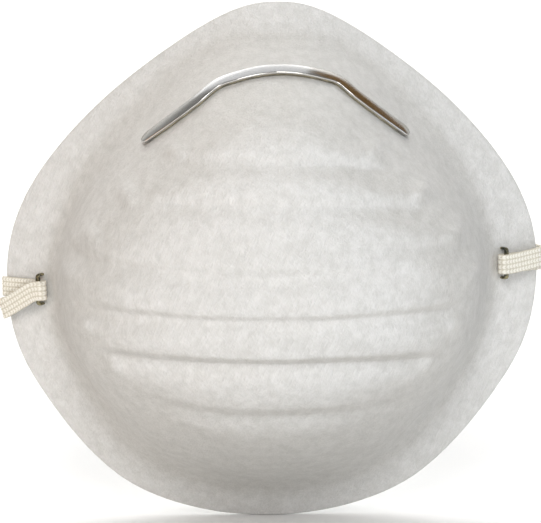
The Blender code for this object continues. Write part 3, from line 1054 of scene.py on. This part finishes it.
@dataclass
class Staple:
    """A box staple of flat wire: crown in front, legs through the felt, ends turned in."""

    seat: StapleSeat
    name: str
    node: str
    crown: float = 7.6
    wire_wide: float = 1.2
    wire_thick: float = 0.6
    top: float = 1.9             # height of the crown's middle above the flange
    bottom: float = -3.4
    clinch: float = 2.6
    bend: float = 0.6

    def outline(self) -> Array:
        """Return the wire's centre line as (along the crown, height)."""
        half = self.crown / 2
        side = [(half - self.clinch, self.bottom - 0.1)]
        for start, height in ((-90.0, self.bottom + self.bend), (0.0, self.top - self.bend)):
            for part in range(7):
                turn = math.radians(start + 15.0 * part)
                side.append((
                    half - self.bend + self.bend * math.cos(turn),
                    height + self.bend * math.sin(turn),
                ))
        return np.array(side + [(-a, h) for a, h in reversed(side)])

    def build(self) -> bpy.types.Object:
        """Sweep the flat wire along its outline."""
        seat = self.seat
        line = np.array([seat.at(0.0, a, h) for a, h in self.outline()])
        line = spread(line, 160)
        tangents = unit(np.gradient(line, axis=0))
        turns = np.linspace(0.0, 2 * math.pi, 17)[:-1]
        shape = np.column_stack([np.cos(turns), np.sin(turns)])
        shape = np.sign(shape) * np.abs(shape)**0.6
        rows, route = [], []
        for index, (centre, tangent) in enumerate(zip(line, tangents)):
            rise = unit(np.cross(seat.outward, tangent))
            taper = min(1.0, 0.55 + 0.45 * min(index, 159 - index) / 6)
            rows.append(centre + taper * (
                shape[:, :1] * seat.outward * self.wire_wide / 2
                + shape[:, 1:] * rise * self.wire_thick / 2
            ))
            route.append(np.column_stack([np.full(len(shape), index * 0.2), shape[:, 0]]))
        faces = skin(len(rows), len(shape))
        faces.append(tuple(range(len(shape)))[::-1])
        faces.append(tuple(range((len(rows) - 1) * len(shape), len(rows) * len(shape))))
        item = mesh_object(
            self.name, np.vstack(rows), faces, STAPLE_STEEL.build(), np.vstack(route)
        )
        return fit_to_body(item, "mask", (self.node,))


@dataclass
class ElasticTape:
    """The knitted tape's cross-section: four wales of V-shaped stitches on each side."""

    width: float = 5.0
    thick: float = 1.0
    wales: int = 4
    per_wale: int = 6
    stitch: float = 0.9          # millimetres per stitch along the tape
    step: float = 0.18

    def section(self, along: float) -> Array:
        """Lay out the section at a distance along the tape.

        Args:
            along: Distance in millimetres, which sets the stitch's phase.

        Returns:
            Rows of (across, up), first over the front and then back under.
        """
        count = self.wales * self.per_wale
        u = np.linspace(0.0, self.wales, count + 1)
        local = 2.0 * (u % 1.0) - 1.0
        local[-1] = 1.0
        lobe = np.sqrt(1.0 - (0.92 * local)**2)
        stitch = np.cos(2 * math.pi * (along / self.stitch + 0.42 * np.abs(local)))
        seam = 1.0 - 0.22 * np.exp(-(local / 0.22)**2)
        rise = self.thick / 2 * (0.34 + 0.66 * lobe * seam * (0.91 + 0.09 * stitch))
        wobble = 0.04 * math.cos(2 * math.pi * along / self.stitch)
        across = (u / self.wales - 0.5) * (self.width + wobble)
        front = np.column_stack([across, rise])
        back = np.column_stack([across, -rise])[::-1]
        return np.vstack([front, back])

    def build(
        self, name: str, centres: Array, widths: Array, start: float, material: bpy.types.Material
    ) -> tuple[bpy.types.Object, Array]:
        """Knit the tape along a line.

        Args:
            name: The piece's name.
            centres: Rows of points along its middle.
            widths: The direction of its width at each point.
            start: Distance along the whole tape at which this stretch starts.
            material: Its finish.

        Returns:
            The piece and the centres of its rows.
        """
        along = travelled(centres)
        count = max(2, round(along[-1] / self.step) + 1)
        cuts = np.linspace(0.0, along[-1], count)
        line = np.stack([np.interp(cuts, along, axis) for axis in centres.T], axis=1)
        wide = np.stack([np.interp(cuts, along, axis) for axis in widths.T], axis=1)
        tangents = unit(np.gradient(line, axis=0))
        wide = unit(wide - tangents * np.sum(wide * tangents, axis=1, keepdims=True))
        rise = np.cross(tangents, wide)
        rows, route = [], []
        for index, cut in enumerate(cuts):
            shape = self.section(start + cut)
            rows.append(line[index] + shape[:, :1] * wide[index] + shape[:, 1:] * rise[index])
            route.append(np.column_stack([np.full(len(shape), start + cut), shape[:, 0]]))
        sides = len(rows[0])
        faces = skin(len(rows), sides)
        for row, flip in ((0, True), (len(rows) - 1, False)):
            low = row * sides
            for index in range(sides // 2 - 1):
                corners = (low + index, low + index + 1, low + sides - 2 - index, low + sides - 1 - index)
                faces.append(corners[::-1] if flip else corners)
        item = mesh_object(name, np.vstack(rows), faces, material, np.vstack(route))
        return item, line


@dataclass
class BandLane:
    """The stapled end of the band: tail under the crown, fold over it, wrap round the edge."""

    seat: StapleSeat
    pivot: tuple[float, float, float]
    towards: tuple[float, float, float]
    skew: float                  # degrees that the upper layer turns from the lower one
    gap: float = 0.3
    thick: float = 1.0
    wire: float = 0.6
    stack: float = 2.8
    tail_setback: float = -0.8
    tail_lift: float = 0.6
    fold_setback: float = 0.8
    run_in: float = 2.2

    @cached_property
    def hinge(self) -> Array:
        """Return the direction of the line that the free band swings about."""
        return unit(np.array(self.towards) - np.array(self.pivot))

    def keys(self) -> list[tuple[float, float, float, float]]:
        """Return the lane's points as (outward, along the crown, height, turn in degrees)."""
        low = self.gap + self.thick / 2
        high = 2 * self.gap + self.thick + self.wire + self.gap + self.thick / 2
        radius = (high - low) / 2
        widest = math.copysign(self.seat.form.widest * 0.9995, self.seat.place[0])
        rim = self.seat.form.points(np.array([widest]), np.array([self.seat.place[1]]))[0]
        edge = float((rim - self.seat.middle) @ self.seat.outward)
        clear = self.gap + self.thick / 2
        drift = edge * math.tan(math.radians(self.skew))
        lane = [
            (edge - self.tail_setback, 0.0, low + self.tail_lift, 0.0),
            (1.5, 0.0, low + 0.1, 0.0),
        ]
        for part in range(9):
            turn = math.pi * part / 8
            out = -self.fold_setback - radius * math.sin(turn)
            lane.append((out, 0.0, low + radius - radius * math.cos(turn), 0.3 * self.skew * part / 8))
        return lane + [
            (1.4, drift * 0.10, high, self.skew * 0.75),
            (edge * 0.5, drift * 0.5, high, self.skew),
            (edge - 0.3, drift, high - 0.2, self.skew * 0.8),
            (edge + clear * 1.05, drift, high - 1.5, self.skew * 0.5),
            (edge + clear * 1.3, drift, -self.stack / 2, 0.0),
            (edge + clear * 0.85, drift, 0.1 - self.stack - 1.5 * clear, 0.0),
        ]

    def line(self) -> tuple[Array, Array]:
        """Lay out the lane from the tail to the pivot.

        Returns:
            Points along its middle and the direction of its width at each.
        """
        seat, keys = self.seat, self.keys()
        points = [seat.at(u, v, h) for u, v, h, _ in keys]
        turns = [math.radians(turn) for *_, turn in keys]
        widths = [seat.crown * math.cos(t) - seat.outward * math.sin(t) for t in turns]
        pivot = np.array(self.pivot)
        points += [pivot - self.hinge * self.run_in, pivot]
        upright = unit(np.array([0.0, 0.0, 1.0]) - self.hinge * self.hinge[2])
        widths += [upright, upright]
        return through_points(np.array(points), 12), through_points(np.array(widths), 12)


@dataclass
class FreeBand:
    """The free length of band: it leaves the rim along the hinge and hangs behind the cup."""

    depth: float = 9.8
    twist_from: float = 3.0
    twist_to: float = 17.0
    route: tuple[tuple[float, float], ...] = (
        (-64.0, -10.0), (-57.5, -9.2), (-53.2, -9.5), (-49.2, -11.0), (-46.3, -13.8),
        (-43.6, -18.4), (-40.4, -24.4), (-35.8, -31.0), (-29.8, -37.6), (-22.4, -43.6),
        (-13.8, -48.0), (-4.4, -50.3), (5.4, -50.1), (15.0, -47.3), (23.8, -42.2),
        (31.2, -35.2), (37.2, -27.0), (41.8, -18.2), (45.2, -9.4), (47.8, -2.8),
        (50.4, 0.8), (54.2, 3.0), (58.2, 3.9), (64.0, 4.6),
    )

    def line(self) -> tuple[Array, Array]:
        """Lay out the band from pivot to pivot: upright at the ends, on edge where it hangs.

        Returns:
            Points along its middle and the direction of its width at each.
        """
        places = np.array([(x, self.depth, z) for x, z in self.route])
        curve = spread(through_points(places, 24), 700)
        tangents = unit(np.gradient(curve, axis=0))
        level = np.array([0.0, 1.0, 0.0])
        upright = np.cross(tangents, level)
        along = travelled(curve)
        from_end = np.minimum(along, along[-1] - along)
        turn = smoothstep(self.twist_from, self.twist_to, from_end)[:, None] * math.pi / 2
        return curve, upright * np.cos(turn) + level * np.sin(turn)


@dataclass
class Headband:
    """The whole elastic strip: two stapled ends and the free length between them."""

    form: CupForm
    tape: ElasticTape = field(default_factory=ElasticTape)
    free: FreeBand = field(default_factory=FreeBand)
    left_pivot: tuple[float, float, float] = (-64.0, 9.8, -10.0)
    right_pivot: tuple[float, float, float] = (64.0, 9.8, 4.6)
    left_seat: tuple[float, float] = (-58.6, -2.5)
    right_seat: tuple[float, float] = (58.8, 3.5)
    left_skew: float = -28.0
    right_skew: float = 6.0
    turn_from: float = 2.6       # the band follows the cup this far below the hinge
    turn_to: float = 19.0        # and swings freely from here

    def free_length(self, material: bpy.types.Material) -> bpy.types.Object:
        """Args:
            material: The tape's finish.

        Returns:
            The piece.
        """
        centres, widths = self.free.line()
        item, line = self.tape.build("headband_knitted", centres, widths, 0.0, material)
        length = float(travelled(line)[-1])
        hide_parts("headband")
        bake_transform(item)
        LOG.info("%s swings on headband, %.1f mm long", item.name, length)
        return item

    def stapled_end(
        self, name: str, node: str, lane: BandLane, material: bpy.types.Material
    ) -> bpy.types.Object:
        """Knit one stapled end.

        Args:
            name: The piece's name.
            node: The solid that it replaces.
            lane: The line that it follows.
            material: The tape's finish.

        Returns:
            The piece.
        """
        centres, widths = lane.line()
        length = travelled(centres)[-1]
        item, _ = self.tape.build(name, centres, widths, -length, material)
        return fit_to_body(item, "mask", (node,))

    def build(self) -> list[bpy.types.Object]:
        """Make the free length, both stapled ends and both staples."""
        material = ELASTIC.build()
        left = StapleSeat(self.form, self.left_seat)
        right = StapleSeat(self.form, self.right_seat)
        lanes = {
            "left": BandLane(left, self.left_pivot, self.right_pivot, self.left_skew),
            "right": BandLane(right, self.right_pivot, self.left_pivot, self.right_skew),
        }
        made = [self.free_length(material)]
        for side, lane in lanes.items():
            node = f"{side}_band_end"
            made.append(self.stapled_end(f"{node}_knitted", node, lane, material))
            made.append(Staple(lane.seat, f"{side}_staple_wire", f"{side}_staple").build())
        return made


@dataclass
class Cup:
    """The three pressed layers, with the nose clip and its glue."""

    form: CupForm
    relief: RibRelief = field(default_factory=RibRelief)

    def build(self) -> list[bpy.types.Object]:
        """Make the layers from the outside in, then the clip."""
        layers = [
            PressedLayer(
                self.form, self.relief, Layer.SHELL, 0.0, 1.0, FELT, "shell_felt", lump=0.095,
            ),
            PressedLayer(
                self.form, self.relief, Layer.FILTER, 1.3, 1.9, FILTER_WEB, "filter_web",
                segments=256, rings_out=34, rings_in=34,
            ),
            PressedLayer(
                self.form, self.relief, Layer.LINER, 2.2, 2.8, LINER_WEB, "liner_web",
                segments=256, rings_out=34, rings_in=110,
            ),
        ]
        made = [layer.build() for layer in layers]
        glue = Strip(
            self.form, "clip_glue_bead", "clip_adhesive", "hot_melt", GLUE,
            width=2.6, thick=0.5, height=0.28, margin=3.0, ripple=0.25,
        )
        clip = Strip(
            self.form, "nose_clip_strip", "nose_clip", "clip_metal", CLIP_METAL,
            width=4.2, thick=0.7, height=0.95,
        )
        return made + [glue.build(), clip.build()]


@dataclass
class Studio:
    """Camera, soft lights and a pale floor."""

    elevation: float = 10.0
    distance: float = 0.70
    roll: float = -0.36
    view_width: float = 138.363      # how much the view takes in across, at the cup, mm
    aim: tuple[float, float] = (-0.29, 4.05)   # what the view is centred on, right and up, mm

    def camera(self) -> bpy.types.Object:
        """Make the camera and return it."""
        tilt = math.radians(self.elevation)
        forward = Vector((0.0, math.cos(tilt), -math.sin(tilt)))
        upward = Vector((0.0, math.sin(tilt), math.cos(tilt)))
        data = bpy.data.cameras.new("camera")
        data.sensor_width = 36.0
        data.lens = self.distance / MM / self.view_width * data.sensor_width
        item = bpy.data.objects.new("camera", data)
        target = Vector((self.aim[0], 0.0, 0.0)) * MM + upward * self.aim[1] * MM
        turned = forward.to_track_quat("-Z", "Y").to_matrix().to_4x4()
        item.matrix_world = (
            Matrix.Translation(target - forward * self.distance)
            @ turned
            @ Matrix.Rotation(math.radians(self.roll), 4, "Z")
        )
        bpy.context.collection.objects.link(item)
        bpy.context.scene.camera = item
        return item

    def softbox(
        self,
        name: str,
        place: tuple[float, float, float],
        size: float,
        power: float,
        colour: str,
        target: tuple[float, float, float] = (0.0, 0.0, 0.0),
    ) -> bpy.types.Object:
        """Hang a square soft light.

        Args:
            name: The light's name.
            place: Where it hangs, in metres.
            size: Its side, in metres.
            power: Its power, in watts.
            colour: Its colour.
            target: What it points at, in metres.

        Returns:
            The light.
        """
        data = bpy.data.lights.new(name, "AREA")
        data.size = size
        data.energy = power
        data.color = linear_colour(colour)[:3]
        item = bpy.data.objects.new(name, data)
        item.location = place
        item.rotation_euler = (Vector(target) - Vector(place)).to_track_quat("-Z", "Y").to_euler()
        item.visible_camera = False
        bpy.context.collection.objects.link(item)
        return item

    def card(
        self, name: str, place: tuple[float, float, float], size: float, finish: Finish
    ) -> bpy.types.Object:
        """Hang a card that the nose clip mirrors, out of the camera's view.

        Args:
            name: The card's name.
            place: Where its middle hangs, in metres.
            size: Its side, in metres.
            finish: Its paint.

        Returns:
            The card.
        """
        turned = (-Vector(place)).to_track_quat("Z", "Y").to_matrix()
        half = size / 2
        sides = ((-1, -1), (1, -1), (1, 1), (-1, 1))
        corners = [Vector((x * half, y * half, 0.0)) for x, y in sides]
        points = np.array([Vector(place) + turned @ corner for corner in corners]) / MM
        item = mesh_object(name, points, [(0, 1, 2, 3)], finish.build())
        return item

    def floor(self, height: float) -> bpy.types.Object:
        """Lay a floor that sweeps up into a backdrop.

        Args:
            height: The floor's height, in metres.

        Returns:
            The floor.
        """
        front, back, bend, top, half_wide = -1.6, 0.9, 0.6, 2.2, 2.4
        profile = [(front, 0.0), (back, 0.0)]
        for degrees in range(10, 91, 10):
            turn = math.radians(degrees)
            profile.append((back + bend * math.sin(turn), bend - bend * math.cos(turn)))
        profile.append((back + bend, top))
        points = [(x, y, height + z) for y, z in profile for x in (-half_wide, half_wide)]
        faces = [(i, i + 1, i + 3, i + 2) for i in range(0, len(points) - 2, 2)]
        item = mesh_object("floor", np.array(points) / MM, faces, FLOOR.build())
        return item

    def world(self, colour: str, strength: float) -> None:
        """Fill the room with soft light of one colour."""
        world = bpy.data.worlds.new("studio")
        world.use_nodes = True
        background = world.node_tree.nodes["Background"]
        background.inputs["Color"].default_value = linear_colour(colour)
        background.inputs["Strength"].default_value = strength
        bpy.context.scene.world = world

    def build(self, floor_height: float) -> None:
        """Set up the camera, the floor and the lights."""
        self.camera()
        self.floor(floor_height)
        self.world("#ffffff", 0.32)
        self.softbox("key_high", (0.0, -0.95, 0.80), 0.6, 7.3, "#ffffff")
        self.softbox("reflector_low", (0.0, -0.42, -0.045), 0.4, 0.36, "#ffffff")
        self.softbox("fill_left", (-0.95, -0.30, 0.15), 0.5, 0.7, "#ffb860")
        self.softbox("fill_right", (0.95, -0.30, 0.15), 0.5, 0.8, "#c0dcff")
        self.softbox("clip_panel", (-0.15, 0.80, 0.95), 0.9, 1.8, "#f4f8ff")
        wash = self.softbox("floor_wash", (0.0, 0.90, 1.30), 1.6, 23.0, "#ffffff", (0.0, 0.9, 0.0))
        wash.visible_glossy = False
        self.card("brown_card", (0.71, 0.64, 0.72), 0.7, CARD)
        scene = bpy.context.scene
        scene.view_settings.view_transform = "Standard"
        scene.view_settings.gamma = 0.85
        LOG.info("studio ready")


def main() -> None:
    """Build the studio and the mask."""
    logging.basicConfig(level=logging.INFO, format="%(message)s")
    Studio().build(CAD_BOX[0][2])
    form = CupForm()
    Headband(form).build()
    Cup(form).build()


if __name__ == "__main__":
    main()
